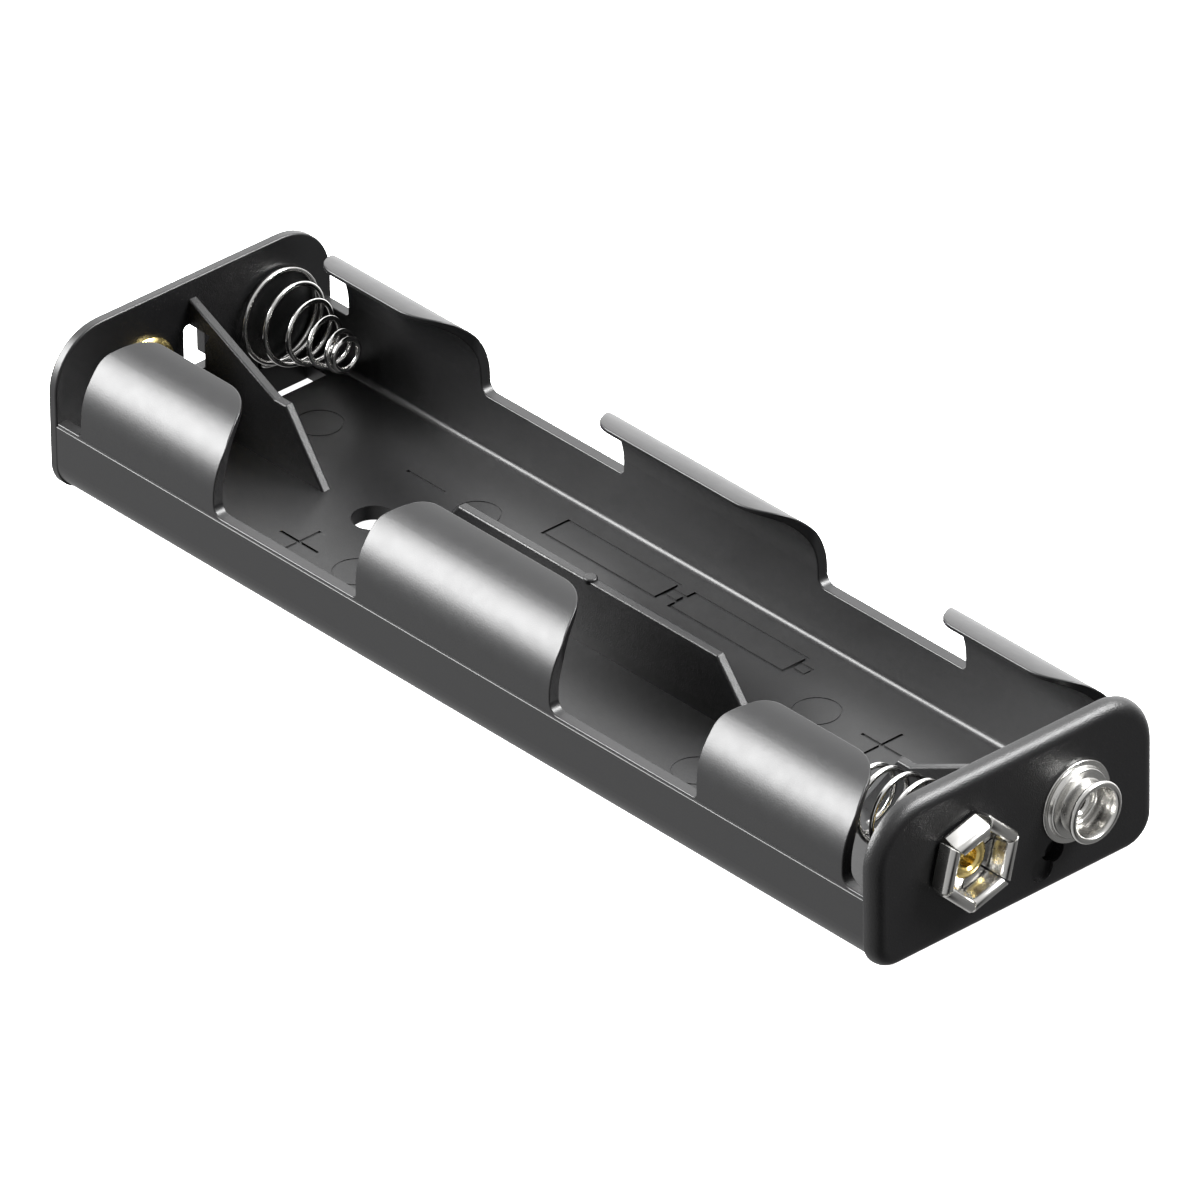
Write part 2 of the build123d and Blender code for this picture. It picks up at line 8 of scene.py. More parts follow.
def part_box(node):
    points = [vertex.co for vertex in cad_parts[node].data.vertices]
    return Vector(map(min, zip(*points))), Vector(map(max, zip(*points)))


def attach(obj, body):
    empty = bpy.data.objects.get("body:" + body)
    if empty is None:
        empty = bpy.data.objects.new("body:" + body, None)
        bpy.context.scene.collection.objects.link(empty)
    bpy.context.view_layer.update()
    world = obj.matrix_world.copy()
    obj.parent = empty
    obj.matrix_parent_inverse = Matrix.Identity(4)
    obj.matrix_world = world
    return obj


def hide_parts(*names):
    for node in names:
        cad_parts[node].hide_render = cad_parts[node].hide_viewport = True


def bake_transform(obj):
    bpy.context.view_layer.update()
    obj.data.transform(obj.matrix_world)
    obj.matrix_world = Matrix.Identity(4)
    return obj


bl_info = {
    "name": "Battery Holder",
    "version": (1, 0, 0),
    "blender": (4, 5, 0),
    "location": "View3D > Sidebar > Battery Holder",
    "description": "Builds an open battery holder with coil springs and two snap terminals",
    "category": "Add Mesh",
}

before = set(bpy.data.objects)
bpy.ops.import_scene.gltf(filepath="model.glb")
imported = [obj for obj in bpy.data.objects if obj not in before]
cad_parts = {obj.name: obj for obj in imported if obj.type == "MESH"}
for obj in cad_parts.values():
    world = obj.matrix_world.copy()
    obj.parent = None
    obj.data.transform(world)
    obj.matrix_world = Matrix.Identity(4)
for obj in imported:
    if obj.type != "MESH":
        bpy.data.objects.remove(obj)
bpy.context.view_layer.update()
MM = 0.001


def middle_of(node):
    """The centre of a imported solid's box, in metres."""
    low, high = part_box(node)
    return (Vector(low) + Vector(high)) / 2


TRAY_LOW, TRAY_HIGH = (Vector(corner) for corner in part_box("tray"))
TRAY_X = (TRAY_LOW.x + TRAY_HIGH.x) / 2

# Thickness of the end plates, and the gap under the inner head of the socket's rivet, where the spring is held
LEFT_PLATE = 1.05 * MM
RIGHT_PLATE = 1.6 * MM
CLAMP = 1.1 * MM

# Where the middle of each spring's wire lies along X at its end plate. The left one stands 0.1 mm clear of it
LEFT_SEAT = TRAY_LOW.x + LEFT_PLATE + 0.35 * MM
RIGHT_SEAT = TRAY_HIGH.x - RIGHT_PLATE - CLAMP / 2

# The coils, measured turn by turn: pairs of a turn and the distance from the seat, or the radius, in millimetres
LEFT_REACH = ((0, 0.0), (0.5, 0.1), (1, 0.95), (2, 3.05), (3, 5.15), (4, 7.25), (5, 9.1), (6, 9.3))
LEFT_RADIUS = ((0, 4.8), (1, 4.18), (2, 3.48), (3, 2.5), (4, 1.95), (5, 1.62), (6, 1.45))
RIGHT_REACH = ((0, 0.0), (0.5, 0.5), (1, 1.6), (2, 3.8), (3, 6.1), (4, 8.2), (5, 9.7), (5.5, 10.0))
RIGHT_RADIUS = ((0, 4.65), (1, 4.35), (2, 4.01), (3, 3.61), (4, 3.27), (5, 2.95), (5.5, 2.85))

# Sheet of the terminals, and the height of its middle above the plate at the bottom of a petal
SHEET = 0.26 * MM
PETAL_FOOT = 0.28 * MM

# Tubular rivets, in millimetres: shank and bore, and the size of a domed head
SHANK_RADIUS = 1.3
BORE_RADIUS = 0.95
DOME_HEIGHT = 1.2


# Sizes and colours that a user may change

class HolderSprings(bpy.types.PropertyGroup):
    wire: FloatProperty(
        name="Wire diameter", description="Diameter of the spring wire",
        default=0.5 * MM, min=0.1 * MM, unit="LENGTH", precision=5,
    )
    steps: IntProperty(
        name="Points per turn", description="Control points in one turn of wire", default=24, min=12, max=64,
    )
    left_y: FloatProperty(
        name="Left spring across", description="Distance of the left spring's axis from the middle",
        default=9.4 * MM, unit="LENGTH", precision=5,
    )
    left_z: FloatProperty(
        name="Left spring height", description="Height of the left spring's axis",
        default=8.25 * MM, unit="LENGTH", precision=5,
    )
    right_y: FloatProperty(
        name="Right spring across", description="Distance of the right spring's axis from the middle",
        default=-5.9 * MM, unit="LENGTH", precision=5,
    )
    right_z: FloatProperty(
        name="Right spring height", description="Height of the right spring's axis",
        default=8.4 * MM, unit="LENGTH", precision=5,
    )


class HolderSocket(bpy.types.PropertyGroup):
    flats: FloatProperty(
        name="Across the flats", description="Width of the hexagonal socket across its walls, at the plate",
        default=7.4 * MM, unit="LENGTH", precision=5,
    )
    flare: FloatProperty(
        name="Flare", description="How far each wall leans out at its top",
        default=0.18 * MM, unit="LENGTH", precision=5,
    )
    roll: FloatProperty(
        name="Roll", description="Width of each petal's rolled top",
        default=0.95 * MM, unit="LENGTH", precision=5,
    )
    turn: FloatProperty(
        name="Turn", description="How far the socket is turned round its rivet, in degrees", default=105.6,
    )
    lean: FloatProperty(
        name="Lean", description="How far the upper petal leans in at its top",
        default=0.45 * MM, unit="LENGTH", precision=5,
    )


class HolderColours(bpy.types.PropertyGroup):
    plastic: StringProperty(
        name="Moulded plastic", description="Colour of the black plastic, as a hex value", default="#0F0F10",
    )
    nickel: StringProperty(
        name="Nickel plate", description="Colour of the nickel plate, as a hex value", default="#DAD9D6",
    )
    steel: StringProperty(
        name="Spring steel", description="Colour of the plated spring wire, as a hex value", default="#DEDDDB",
    )
    brass: StringProperty(
        name="Brass", description="Colour of the brass rivets, as a hex value", default="#EAD38C",
    )
    solder: StringProperty(
        name="Solder", description="Colour of the tin solder, as a hex value", default="#B9BABC",
    )


class HolderStudio(bpy.types.PropertyGroup):
    lens: FloatProperty(
        name="Lens", description="Focal length of the camera, in millimetres", default=563.5, min=35.0,
    )
    key: FloatProperty(
        name="Key light", description="Brightness of the long soft light on the left", default=22.0, min=0.0,
    )
    rim: FloatProperty(
        name="Rim light", description="Brightness of the soft light behind on the right", default=34.0, min=0.0,
    )
    sky: FloatProperty(
        name="Surround", description="Brightness of the pale room round the holder", default=1.0, min=0.0,
    )


# Helpers

def linear(hex_colour):
    """An sRGB hex value as linear red, green, blue and alpha."""
    text = hex_colour.lstrip("#")
    parts = [int(text[i:i + 2], 16) / 255 for i in (0, 2, 4)]
    return [c / 12.92 if c <= 0.04045 else ((c + 0.055) / 1.055) ** 2.4 for c in parts] + [1.0]


def add_node(tree, kind, settings=None, inputs=None, links=None):
    """Adds one node: settings are its own values, inputs its sockets' values, and links what feeds its sockets."""
    node = tree.nodes.new(kind)
    for name, value in (settings or {}).items():
        setattr(node, name, value)
    for name, value in (inputs or {}).items():
        node.inputs[name].default_value = value
    for name, source in (links or {}).items():
        tree.links.new(source, node.inputs[name])
    return node


def start_material(name):
    """An empty material and its node tree."""
    material = bpy.data.materials.new(name)
    material.use_nodes = True
    material.node_tree.nodes.clear()
    return material, material.node_tree


def dress(piece, material):
    """Gives a piece its one material."""
    piece.data.materials.clear()
    piece.data.materials.append(material)


def dress_solid(node, material):
    """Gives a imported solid's slots the finished material."""
    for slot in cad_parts[node].material_slots:
        slot.material = material


def deselect():
    bpy.ops.object.select_all(action="DESELECT")


def active(piece):
    """Selects one object alone and makes it the active one."""
    deselect()
    piece.select_set(True)
    bpy.context.view_layer.objects.active = piece


def settle(piece):
    """Puts a finished piece's place into its mesh."""
    active(piece)
    bpy.ops.object.transform_apply(location=True, rotation=True, scale=True)


# Materials

def moulded_plastic():
    """Black polystyrene from a polished mould: a soft, even gloss. Ribs and the right plate have a grainy skin."""
    material, tree = start_material("moulded_black_plastic")
    colours = bpy.context.scene.holder_colours
    place = add_node(tree, "ShaderNodeTexCoord").outputs["Object"]
    # Flow marks a millimetre or two long make the gloss a little uneven
    flow = add_node(tree, "ShaderNodeTexNoise", inputs={"Scale": 700.0, "Detail": 4.0, "Roughness": 0.6},
                    links={"Vector": place})
    gloss = add_node(tree, "ShaderNodeMapRange",
                     inputs={"From Min": 0.3, "From Max": 0.7, "To Min": 0.36, "To Max": 0.4},
                     links={"Value": flow.outputs["Fac"]})
    # The mould's slots for the ribs and the right plate are eroded, and leave grains about 0.12 mm across
    grain = add_node(tree, "ShaderNodeTexNoise", inputs={"Scale": 8000.0, "Detail": 2.0},
                     links={"Vector": place})
    parts = add_node(tree, "ShaderNodeSeparateXYZ", links={"Vector": place}).outputs
    across = add_node(tree, "ShaderNodeMath", settings={"operation": "ABSOLUTE"}, links={0: parts["Y"]})
    near, above, plate = (
        add_node(tree, "ShaderNodeMath", settings={"operation": operation}, inputs={1: limit}, links={0: source})
        for operation, limit, source in (
            ("LESS_THAN", 8.5 * MM, across.outputs["Value"]),
            ("GREATER_THAN", 3.0 * MM, parts["Z"]),
            ("GREATER_THAN", TRAY_HIGH.x - 1.55 * MM, parts["X"]),
        )
    )
    rib = add_node(tree, "ShaderNodeMath", settings={"operation": "MULTIPLY"},
                   links={0: near.outputs["Value"], 1: above.outputs["Value"]})
    grainy = add_node(tree, "ShaderNodeMath", settings={"operation": "MAXIMUM"},
                      links={0: rib.outputs["Value"], 1: plate.outputs["Value"]})
    strength = add_node(tree, "ShaderNodeMapRange", inputs={"To Min": 0.2, "To Max": 1.0},
                        links={"Value": grainy.outputs["Value"]})
    bump = add_node(tree, "ShaderNodeBump", inputs={"Distance": 0.00003},
                    links={"Height": grain.outputs["Fac"], "Strength": strength.outputs["Result"]})
    shader = add_node(tree, "ShaderNodeBsdfPrincipled",
                      inputs={"Base Color": linear(colours.plastic), "IOR": 1.55},
                      links={"Roughness": gloss.outputs["Result"], "Normal": bump.outputs["Normal"]})
    add_node(tree, "ShaderNodeOutputMaterial", links={"Surface": shader.outputs["BSDF"]})
    return material


def bright_plate(name, colour, low, high, scale):
    """Bright metal: its colour, and a roughness that wanders between two values."""
    material, tree = start_material(name)
    place = add_node(tree, "ShaderNodeTexCoord").outputs["Object"]
    wander = add_node(tree, "ShaderNodeTexNoise", inputs={"Scale": scale, "Detail": 4.0},
                      links={"Vector": place})
    gloss = add_node(tree, "ShaderNodeMapRange",
                     inputs={"From Min": 0.3, "From Max": 0.7, "To Min": low, "To Max": high},
                     links={"Value": wander.outputs["Fac"]})
    bump = add_node(tree, "ShaderNodeBump", inputs={"Strength": 0.15, "Distance": 0.00002},
                    links={"Height": wander.outputs["Fac"]})
    shader = add_node(tree, "ShaderNodeBsdfPrincipled",
                      inputs={"Base Color": linear(colour), "Metallic": 1.0},
                      links={"Roughness": gloss.outputs["Result"], "Normal": bump.outputs["Normal"]})
    add_node(tree, "ShaderNodeOutputMaterial", links={"Surface": shader.outputs["BSDF"]})
    return material


# Springs

def wire_piece(name, points):
    """Round wire along points in metres, as a mesh at the origin."""
    springs = bpy.context.scene.holder_springs
    deselect()
    bpy.ops.curve.primitive_nurbs_path_add(location=(0, 0, 0))
    wire = bpy.context.object
    wire.name = name
    wire.data.name = name
    line = wire.data
    line.splines.clear()
    spline = line.splines.new("NURBS")
    spline.points.add(len(points) - 1)
    for target, point in zip(spline.points, points):
        target.co = (*point, 1.0)
    spline.use_endpoint_u = True
    spline.order_u = 3
    spline.resolution_u = 3
    line.dimensions = "3D"
    line.bevel_depth = springs.wire / 2
    line.bevel_resolution = 5
    line.use_fill_caps = True
    bpy.ops.object.convert(target="MESH")
    bpy.ops.object.shade_smooth_by_angle(angle=math.radians(50))
    return wire


def between(table, turn):
    """The value at a turn, read in straight lines between a table's pairs of turn and value."""
    for (t0, v0), (t1, v1) in zip(table, table[1:]):
        if turn <= t1:
            return v0 + (v1 - v0) * (turn - t0) / (t1 - t0)
    return table[-1][1]


def coil_points(seat, centre_y, centre_z, reach, radius, side):
    """Points of a right-handed coil. Side -1 starts at the bottom and runs to the right, and side 1 starts
    at the top and runs to the left."""
    steps = bpy.context.scene.holder_springs.steps
    points = []
    for i in range(int(reach[-1][0] * steps) + 1):
        turn = i / steps
        angle = 2 * math.pi * turn
        size = between(radius, turn) * MM
        points.append((
            seat - side * between(reach, turn) * MM,
            centre_y + size * math.sin(angle),
            centre_z + side * size * math.cos(angle),
        ))
    return points


def arc_points(seat, centre_y, centre_z, radius, degrees):
    """Points of an arc square to X, from the front over the top as the degrees grow."""
    angles = [math.radians(value) for value in degrees]
    return [(seat, centre_y - radius * math.cos(angle), centre_z + radius * math.sin(angle)) for angle in angles]


def finish_spring(node, points):
    """Makes a spring's wire along its points, gives it the plated wire and hides the imported spring."""
    wire = wire_piece(node + "_wire", points)
    dress(wire, bpy.data.materials["plated_spring_wire"])
    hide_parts(node)
    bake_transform(wire)


class HOLDER_OT_left_spring(bpy.types.Operator):
    """Adds the conical spring of the rear row, with its tail through the left plate"""
    bl_idname = "holder.left_spring"
    bl_label = "Left Spring"

    def execute(self, context):
        springs = context.scene.holder_springs
        tail = middle_of("solder_joint")
        bottom = springs.left_z - LEFT_RADIUS[0][1] * MM
        # The tail comes in through the plate and bends along it to the lowest point of the coil
        points = [
            (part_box("left_spring")[0][0], tail.y, tail.z),
            (LEFT_SEAT - 0.6 * MM, tail.y, tail.z),
            (LEFT_SEAT, tail.y + 0.05 * MM, tail.z),
            (LEFT_SEAT, (tail.y + springs.left_y) / 2, bottom + 0.1 * MM),
        ]
        points += coil_points(LEFT_SEAT, springs.left_y, springs.left_z, LEFT_REACH, LEFT_RADIUS, -1)
        finish_spring("left_spring", points)
        return {"FINISHED"}


class HOLDER_OT_right_spring(bpy.types.Operator):
    """Adds the spring of the front row, with its base loop round the socket's rivet"""
    bl_idname = "holder.right_spring"
    bl_label = "Right Spring"

    def execute(self, context):
        springs = context.scene.holder_springs
        # The loop is round the rivet, which is lower than the coil's axis
        loop = 1.75 * MM
        loop_drop = 0.4 * MM
        loop_z = springs.right_z - loop_drop
        bottom = loop_z - loop
        half = (springs.right_z + RIGHT_RADIUS[0][1] * MM - bottom) / 2
        # Loop round the rivet, a wide half turn up the side, then the coil
        points = arc_points(RIGHT_SEAT, springs.right_y, loop_z, loop, range(200, -91, -15))
        points += arc_points(RIGHT_SEAT, springs.right_y, bottom + half, half, range(-75, 90, 15))
        points += coil_points(RIGHT_SEAT, springs.right_y, springs.right_z, RIGHT_REACH, RIGHT_RADIUS, 1)
        finish_spring("right_spring", points)
        return {"FINISHED"}


# Turned pieces and the folded socket

def lathe(name, centre, rings, material, slot, segments=72):
    """Turns a piece on an axis along X. Rings are pairs of radius and distance along X in millimetres;
    a last ring of radius nothing closes the piece with a point."""
    deselect()
    radius, place = rings[0]
    bpy.ops.mesh.primitive_circle_add(
        vertices=segments, radius=radius * MM, rotation=(0, math.pi / 2, 0),
        location=(centre[0] + place * MM, centre[1], centre[2]),
    )
    piece = bpy.context.object
    piece.name = name
    piece.data.name = name
    settle(piece)
    bpy.ops.object.mode_set(mode="EDIT")
    bpy.ops.mesh.select_all(action="SELECT")
    for next_radius, next_place in rings[1:]:
        # Nothing can't be scaled back up, so a point is a very small ring that the merge below closes
        next_radius = max(next_radius, 0.0001)
        size = next_radius / radius
        bpy.ops.mesh.extrude_edges_move(TRANSFORM_OT_translate={"value": ((next_place - place) * MM, 0, 0)})
        bpy.ops.transform.resize(
            value=(1, size, size), center_override=(centre[0] + next_place * MM, centre[1], centre[2]),
        )
        radius, place = next_radius, next_place
    bpy.ops.mesh.select_all(action="SELECT")
    bpy.ops.mesh.remove_doubles(threshold=0.001 * MM)
    bpy.ops.mesh.normals_make_consistent(inside=False)
    bpy.ops.object.mode_set(mode="OBJECT")
    bpy.ops.object.shade_smooth_by_angle(angle=math.radians(38))
    dress(piece, bpy.data.materials[material])
    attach(piece, "holder")
    return piece


def rounded(centre_radius, centre_place, bend, start, end, steps=6):
    """Rings round an arc, for a lip or a soft edge. Angles in degrees, 0 pointing away from the axis."""
    rings = []
    for i in range(steps + 1):
        angle = math.radians(start + (end - start) * i / steps)
        rings.append((centre_radius + bend * math.cos(angle), centre_place + bend * math.sin(angle)))
    return rings


class HOLDER_OT_round_stud(bpy.types.Operator):
    """Adds the round snap stud, drawn from sheet, with a step, a neck and a rolled rim"""
    bl_idname = "holder.round_stud"
    bl_label = "Round Stud"

    def execute(self, context):
        centre = middle_of("round_stud")
        centre.x = TRAY_HIGH.x
        height = (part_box("round_stud")[1][0] - TRAY_HIGH.x) / MM
        lip = 0.33
        # Flange on the plate
        rings = [(1.4, 0.02), (3.85, 0.02)]
        rings += rounded(3.76, 0.18, 0.12, 0, 80, 4)
        # Step
        rings += [(3.4, 0.3)]
        rings += rounded(3.05, 0.52, 0.22, 0, 90, 5)
        # Neck, which widens into the rolled rim
        rings += [(2.75, 0.76), (2.5, 0.9), (2.42, 1.15), (2.42, height - 1.0), (2.5, height - 0.75)]
        rings += rounded(2.62, height - lip, lip, -35, 150, 9)
        # Down the inside to the rivet
        rings += [(2.24, height - 0.75), (2.16, height - 1.0), (2.16, 0.8)]
        rings += rounded(1.86, 0.6, 0.3, 0, -90, 4)
        rings += [(1.4, 0.3), (1.4, 0.02)]
        stud = lathe("snap_stud", centre, rings, "nickel_plated_sheet", "nickel")
        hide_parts("round_stud")
        return {"FINISHED"}


def petal_rows(wall, lean, height, roll):
    """Rows of a petal, from the rivet outwards, up the wall, round the roll and down the leaf, each as
    the distance from the axis and the height above the plate. A lean above nothing leans outwards."""
    rows = [(1.4 * MM, PETAL_FOOT), (wall - 0.25 * MM, PETAL_FOOT), (wall - 0.07 * MM, 0.35 * MM),
            (wall, 0.55 * MM), (wall + lean / 2, height / 2)]
    top = wall + lean
    for degrees in range(0, 181, 20):
        angle = math.radians(degrees)
        rows.append((top - roll + roll * math.cos(angle), height - roll + roll * math.sin(angle)))
    return rows + [(top - 2 * roll - 0.12 * MM, 1.2 * MM), (top - 2 * roll - 0.3 * MM, 0.62 * MM)]


def make_petals(name, centre, rows, spans, turn, copies):
    """Folds one petal of sheet along its rows, turns it to its place and copies it round in steps of 60 degrees."""
    deselect()
    bpy.ops.mesh.primitive_plane_add(size=1.0, location=(0, 0, 0))
    petal = bpy.context.object
    petal.name = name
    petal.data.name = name
    bpy.ops.object.mode_set(mode="EDIT")
    bpy.ops.mesh.select_all(action="SELECT")
    bpy.ops.mesh.merge(type="CENTER")
    bpy.ops.transform.translate(value=(centre.x + rows[0][1], centre.y + rows[0][0], centre.z - spans[0]))
    bpy.ops.mesh.extrude_vertices_move(TRANSFORM_OT_translate={"value": (0, 0, 2 * spans[0])})
    bpy.ops.mesh.select_all(action="SELECT")
    for row, last, span, last_span in zip(rows[1:], rows, spans[1:], spans):
        bpy.ops.mesh.extrude_edges_move(TRANSFORM_OT_translate={"value": (row[1] - last[1], row[0] - last[0], 0)})
        bpy.ops.transform.resize(value=(1, 1, span / last_span), center_override=tuple(centre))
    bpy.ops.mesh.select_all(action="SELECT")
    bpy.ops.transform.rotate(value=-math.radians(turn), orient_axis="X", center_override=tuple(centre))
    for copy in range(copies):
        bpy.ops.mesh.duplicate()
        bpy.ops.transform.rotate(value=-math.radians(60), orient_axis="X", center_override=tuple(centre))
    bpy.ops.mesh.select_all(action="SELECT")
    bpy.ops.mesh.normals_make_consistent(inside=False)
    bpy.ops.object.mode_set(mode="OBJECT")
    return petal


class HOLDER_OT_hex_socket(bpy.types.Operator):
    """Adds the hexagonal snap socket: six petals of one sheet, each rolled inwards and down"""
    bl_idname = "holder.hex_socket"
    bl_label = "Hexagonal Socket"

    def execute(self, context):
        settings = context.scene.holder_socket
        centre = middle_of("hex_socket")
        centre.x = TRAY_HIGH.x
        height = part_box("hex_socket")[1][0] - centre.x
        upright = petal_rows(settings.flats / 2, settings.flare, height, settings.roll / 2)
        # The upper petal is bent in a little, and stops short of its neighbours
        bent = petal_rows(settings.flats / 2, -settings.lean, height, settings.roll / 2)[:-1]
        spans = [distance * math.tan(math.radians(30)) for distance, rise in upright]
        upper = make_petals("upper_petal", centre, bent, [span - 0.33 * MM for span in spans], settings.turn, 0)
        socket = make_petals("snap_socket", centre, upright, [span - 0.1 * MM for span in spans],
                             settings.turn + 60, 4)
        upper.select_set(True)
        bpy.ops.object.join()
        sheet = socket.modifiers.new("sheet", "SOLIDIFY")
        sheet.thickness = SHEET
        sheet.offset = 0.0
        edge = socket.modifiers.new("edge", "BEVEL")
        edge.width = 0.06 * MM
        edge.segments = 2
        edge.limit_method = "ANGLE"
        edge.angle_limit = math.radians(60)
        for modifier in ("sheet", "edge"):
            bpy.ops.object.modifier_apply(modifier=modifier)
        bpy.ops.object.shade_smooth_by_angle(angle=math.radians(38))
        dress(socket, bpy.data.materials["nickel_plated_sheet"])
        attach(socket, "holder")
        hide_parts("hex_socket")
        return {"FINISHED"}


def rivet_rings(seat, tail, head_radius, head_height, domed):
    """Rings of a tubular rivet from its head to its flared tail. A tail to the left runs the other way."""
    way = 1 if tail > seat else -1
    if domed:
        rings = [(0.0, seat - way * head_height), (0.6, seat - way * (head_height - 0.02))]
        rings += [(head_radius * share, seat - way * (head_height * (1 - share ** 2.6) + 0.3 * share ** 2.6))
                  for share in (0.4, 0.6, 0.75, 0.88, 0.96)]
        rings += [(head_radius, seat - way * 0.24), (head_radius, seat), (SHANK_RADIUS, seat)]
    else:
        rings = [(BORE_RADIUS, seat - way * head_height * 0.6), (1.15, seat - way * head_height),
                 (head_radius - 0.1, seat - way * head_height), (head_radius, seat - way * (head_height - 0.1)),
                 (head_radius, seat), (SHANK_RADIUS, seat)]
    rings += [(SHANK_RADIUS, tail), (1.98, tail), (2.0, tail + way * 0.08), (1.85, tail + way * 0.22),
              (1.45, tail + way * 0.33), (1.15, tail + way * 0.3), (BORE_RADIUS, tail + way * 0.1)]
    if domed:
        rings += [(BORE_RADIUS, seat - way * 0.2), (0.0, seat - way * 0.2)]
    else:
        rings.append(rings[0])
    return [(max(radius, 0.0001), place) for radius, place in rings]


class HOLDER_OT_rivets(bpy.types.Operator):
    """Adds the three tubular rivets: one under each terminal and the front row's contact"""
    bl_idname = "holder.rivets"
    bl_label = "Rivets"

    def execute(self, context):
        sheet_top = PETAL_FOOT / MM
        right = -RIGHT_PLATE / MM
        left = LEFT_PLATE / MM
        brass = ("turned_brass", "brass")
        nickel = ("nickel_plated_sheet", "nickel")
        # Each: the plate's outer face, then the seat, tail, head radius, head height and whether it is domed
        for name, node, finish, face, rings, segments in (
            ("socket_rivet", "hex_rivet", brass, TRAY_HIGH.x,
             (right - CLAMP / MM, sheet_top, 2.6, 0.5, False), 48),
            ("stud_rivet_tube", "stud_rivet", nickel, TRAY_HIGH.x, (right, sheet_top, 3.1, DOME_HEIGHT, True), 48),
            ("contact_button", "contact_rivet", brass, TRAY_LOW.x, (left, -0.3, 3.3, DOME_HEIGHT, True), 64),
        ):
            centre = middle_of(node)
            centre.x = face
            rivet = lathe(name, centre, rivet_rings(*rings), *finish, segments)
            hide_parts(node)
        return {"FINISHED"}


class HOLDER_OT_solder(bpy.types.Operator):
    """Adds the solder that holds the left spring's tail on the link strip"""
    bl_idname = "holder.solder"
    bl_label = "Solder"

    def execute(self, context):
        low, high = (Vector(corner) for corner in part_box("solder_joint"))
        centre = (low + high) / 2
        centre.x = high.x
        height = (high.x - low.x) / MM
        base = (high.y - low.y) / 2 / MM
        # A concave skirt that wets the strip, and a rounded top round the wire's end
        rings = [(base * share, -height * rise) for share, rise in (
            (1.0, 0.0), (0.97, 0.04), (0.86, 0.14), (0.7, 0.34), (0.56, 0.6), (0.43, 0.82), (0.25, 0.96),
            (0.1, 1.0), (0.0, 1.0))]
        joint = lathe("solder_blob", centre, rings, "tin_solder", "solder", 48)
        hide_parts("solder_joint")
        return {"FINISHED"}


class HOLDER_OT_finishes(bpy.types.Operator):
    """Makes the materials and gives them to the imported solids"""
    bl_idname = "holder.finishes"
    bl_label = "Finishes"

    def execute(self, context):
        colours = context.scene.holder_colours
        plastic = moulded_plastic()
        # Nickel over steel sheet, drawn and tumbled: a bright satin, a little warm
        nickel = bright_plate("nickel_plated_sheet", colours.nickel, 0.2, 0.28, 900.0)
        # Nickel-plated spring steel wire: bright, with drawing marks that are too fine to show
        bright_plate("plated_spring_wire", colours.steel, 0.1, 0.18, 2500.0)
        # Bare brass tube, turned and flared: bright and yellow
        bright_plate("turned_brass", colours.brass, 0.2, 0.28, 1500.0)
        # Tin solder, cooled with a frosty skin
        bright_plate("tin_solder", colours.solder, 0.25, 0.4, 3000.0)
        dress_solid("tray", plastic)
        dress_solid("link_strip", nickel)
        return {"FINISHED"}


# Stage

# Found by fitting a camera to the photo's straight edges: its place beside the tray's middle, in metres,
# and the directions of its right, top and back
CAMERA_PLACE = Vector((1.03918, -0.91519, 0.86936))
CAMERA_AXES = (
    (0.66718689, 0.74478259, -0.01267093),
    (-0.38686097, 0.36099177, 0.84854201),
    (0.63655341, -0.56123421, 0.52897628),
)
LAMP_DISTANCE = 0.9
LAMP_TARGET = Vector((0, 0, 0.008))


def soft_light(name, direction, size, brightness):
    """A rectangular soft light at a direction from the holder, of an even brightness over its face."""
    along = Vector(direction).normalized()
    deselect()
    bpy.ops.object.light_add(type="AREA", location=LAMP_TARGET + along * LAMP_DISTANCE)
    lamp = bpy.context.object
    lamp.name = name
    lamp.rotation_mode = "QUATERNION"
    lamp.rotation_quaternion = along.to_track_quat("Z", "Y")
    lamp.data.shape = "RECTANGLE"
    lamp.data.size, lamp.data.size_y = size
    lamp.data.energy = brightness * math.pi * size[0] * size[1]
    lamp.visible_camera = False


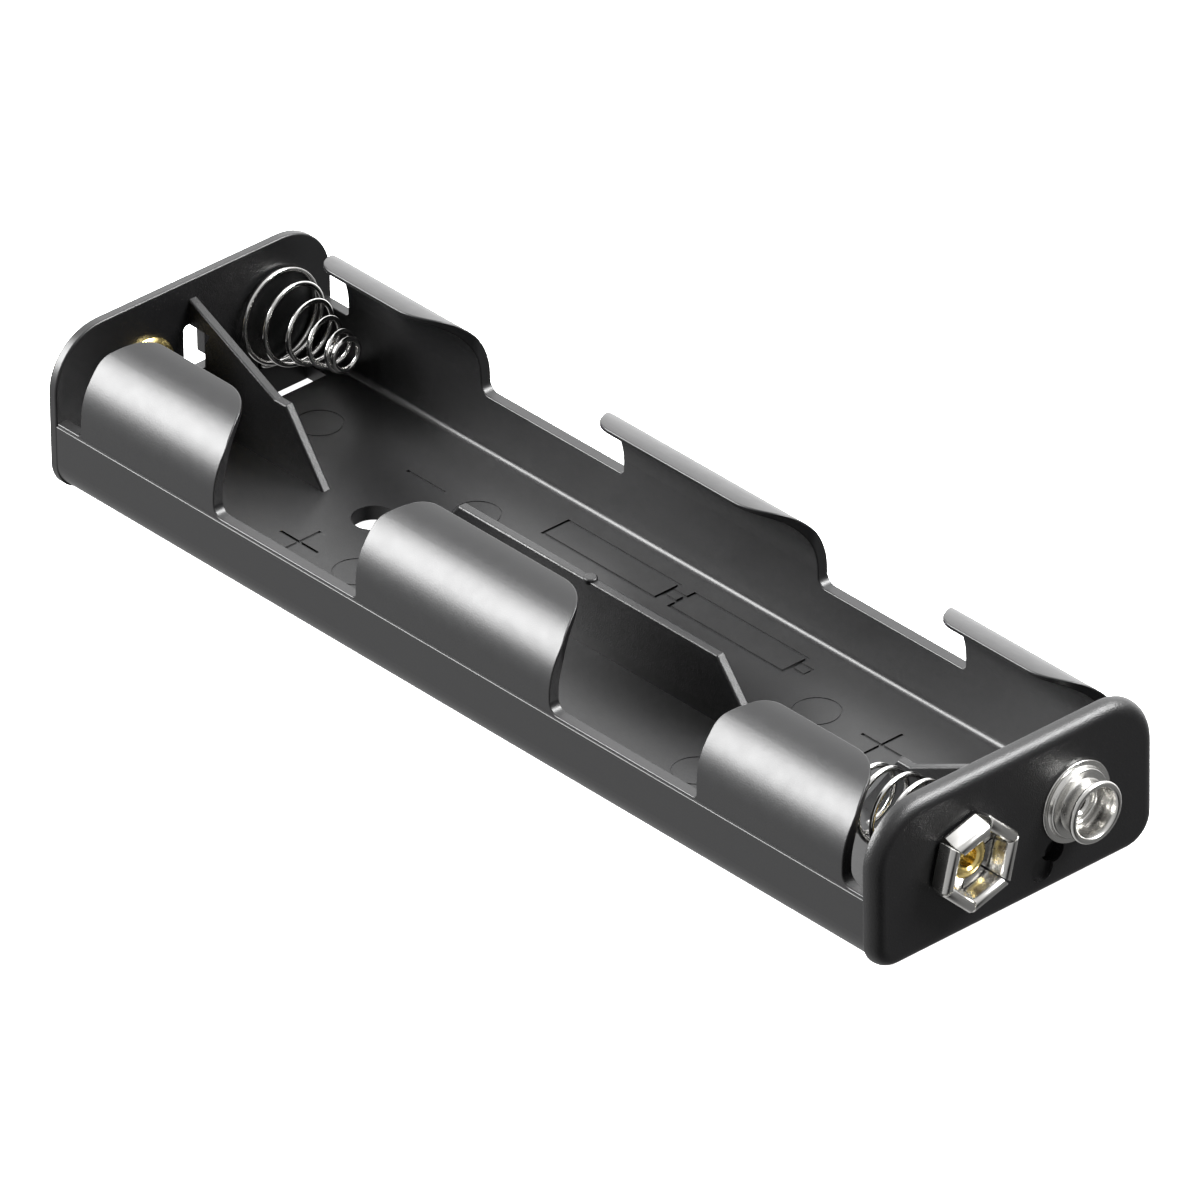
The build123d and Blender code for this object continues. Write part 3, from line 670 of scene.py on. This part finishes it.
class HOLDER_OT_stage(bpy.types.Operator):
    """Sets up the camera, the pale floor and the soft studio light"""
    bl_idname = "holder.stage"
    bl_label = "Stage"

    def execute(self, context):
        studio = context.scene.holder_studio
        deselect()
        bpy.ops.object.camera_add(location=CAMERA_PLACE + Vector((TRAY_X, 0, 0)))
        camera = context.object
        camera.name = "studio_camera"
        camera.rotation_mode = "QUATERNION"
        camera.rotation_quaternion = Matrix(CAMERA_AXES).transposed().to_quaternion()
        camera.data.lens = studio.lens
        camera.data.sensor_width = 36.0
        camera.data.clip_start = 0.05
        camera.data.clip_end = 20.0
        context.scene.camera = camera

        deselect()
        bpy.ops.mesh.primitive_plane_add(size=6.0, location=(0, 0, 0))
        floor = context.object
        floor.name = "floor"
        material, tree = start_material("pale_floor")
        shader = add_node(tree, "ShaderNodeBsdfPrincipled",
                          inputs={"Base Color": linear("#FFFFFF"), "Roughness": 1.0, "Specular IOR Level": 0.0,
                                  "Emission Color": linear("#FFFFFF"), "Emission Strength": 1.1})
        add_node(tree, "ShaderNodeOutputMaterial", links={"Surface": shader.outputs["BSDF"]})
        dress(floor, material)
        floor.visible_glossy = False
        floor.visible_diffuse = False

        soft_light("key_light", (-0.64, -0.62, 0.46), (0.7, 0.55), studio.key)
        soft_light("rim_light", (0.5, 0.56, 0.66), (0.5, 0.3), studio.rim)

        world = bpy.data.worlds.new("pale_room")
        context.scene.world = world
        world.use_nodes = True
        tree = world.node_tree
        tree.nodes.clear()
        place = add_node(tree, "ShaderNodeTexCoord").outputs["Generated"]
        # The room: each row is a direction, the cosines where its patch starts and is full, and what it adds
        total = None
        for direction, start, full, strength in (
            ((0.0, 0.0, 1.0), -3.0, -2.0, 0.72),
            ((-0.64, 0.72, 0.1), 0.55, 0.92, 1.7),
            ((-0.64, 0.5, 0.6), 0.6, 0.95, 0.3),
            ((-0.33, 0.1, 0.94), 0.9, 0.98, 1.4),
            ((-0.1, 0.58, 0.8), 0.88, 0.97, 1.6),
            ((0.62, 0.55, -0.56), 0.25, 0.8, -0.52),
            ((0.75, -0.6, -0.2), 0.3, 0.9, -0.25),
        ):
            toward = add_node(tree, "ShaderNodeVectorMath", settings={"operation": "DOT_PRODUCT"},
                              inputs={1: Vector(direction).normalized()}, links={0: place})
            patch = add_node(tree, "ShaderNodeMapRange", settings={"interpolation_type": "SMOOTHSTEP"},
                             inputs={"From Min": start, "From Max": full, "To Min": 0.0, "To Max": strength},
                             links={"Value": toward.outputs["Value"]})
            if total is None:
                total = patch.outputs["Result"]
            else:
                joined = add_node(tree, "ShaderNodeMath", links={0: total, 1: patch.outputs["Result"]})
                total = joined.outputs["Value"]
        power = add_node(tree, "ShaderNodeMath", settings={"operation": "MULTIPLY"}, inputs={1: studio.sky},
                         links={0: total})
        light = add_node(tree, "ShaderNodeBackground", inputs={"Color": linear("#FFFFFF")},
                         links={"Strength": power.outputs["Value"]})
        add_node(tree, "ShaderNodeOutputWorld", links={"Surface": light.outputs["Background"]})
        context.scene.view_settings.view_transform = "Standard"
        return {"FINISHED"}


class HOLDER_PT_panel(bpy.types.Panel):
    """Lists the holder's settings and the steps that build it"""
    bl_idname = "HOLDER_PT_panel"
    bl_label = "Battery Holder"
    bl_space_type = "VIEW_3D"
    bl_region_type = "UI"
    bl_category = "Battery Holder"

    def draw(self, context):
        layout = self.layout
        scene = context.scene
        for group in (scene.holder_springs, scene.holder_socket, scene.holder_colours, scene.holder_studio):
            box = layout.box()
            for name in group.__annotations__:
                box.prop(group, name)
        for step in STEPS:
            layout.operator(step.bl_idname)


STEPS = (
    HOLDER_OT_stage, HOLDER_OT_finishes, HOLDER_OT_left_spring, HOLDER_OT_right_spring,
    HOLDER_OT_round_stud, HOLDER_OT_hex_socket, HOLDER_OT_rivets, HOLDER_OT_solder,
)
GROUPS = (HolderSprings, HolderSocket, HolderColours, HolderStudio)


def register():
    for cls in (*GROUPS, *STEPS, HOLDER_PT_panel):
        bpy.utils.register_class(cls)
    bpy.types.Scene.holder_springs = PointerProperty(type=HolderSprings)
    bpy.types.Scene.holder_socket = PointerProperty(type=HolderSocket)
    bpy.types.Scene.holder_colours = PointerProperty(type=HolderColours)
    bpy.types.Scene.holder_studio = PointerProperty(type=HolderStudio)


def unregister():
    del bpy.types.Scene.holder_studio
    del bpy.types.Scene.holder_colours
    del bpy.types.Scene.holder_socket
    del bpy.types.Scene.holder_springs
    for cls in reversed((*GROUPS, *STEPS, HOLDER_PT_panel)):
        bpy.utils.unregister_class(cls)


def main():
    register()
    bpy.ops.holder.stage()
    bpy.ops.holder.finishes()
    bpy.ops.holder.left_spring()
    bpy.ops.holder.right_spring()
    bpy.ops.holder.round_stud()
    bpy.ops.holder.hex_socket()
    bpy.ops.holder.rivets()
    bpy.ops.holder.solder()


if __name__ == "__main__":
    main()
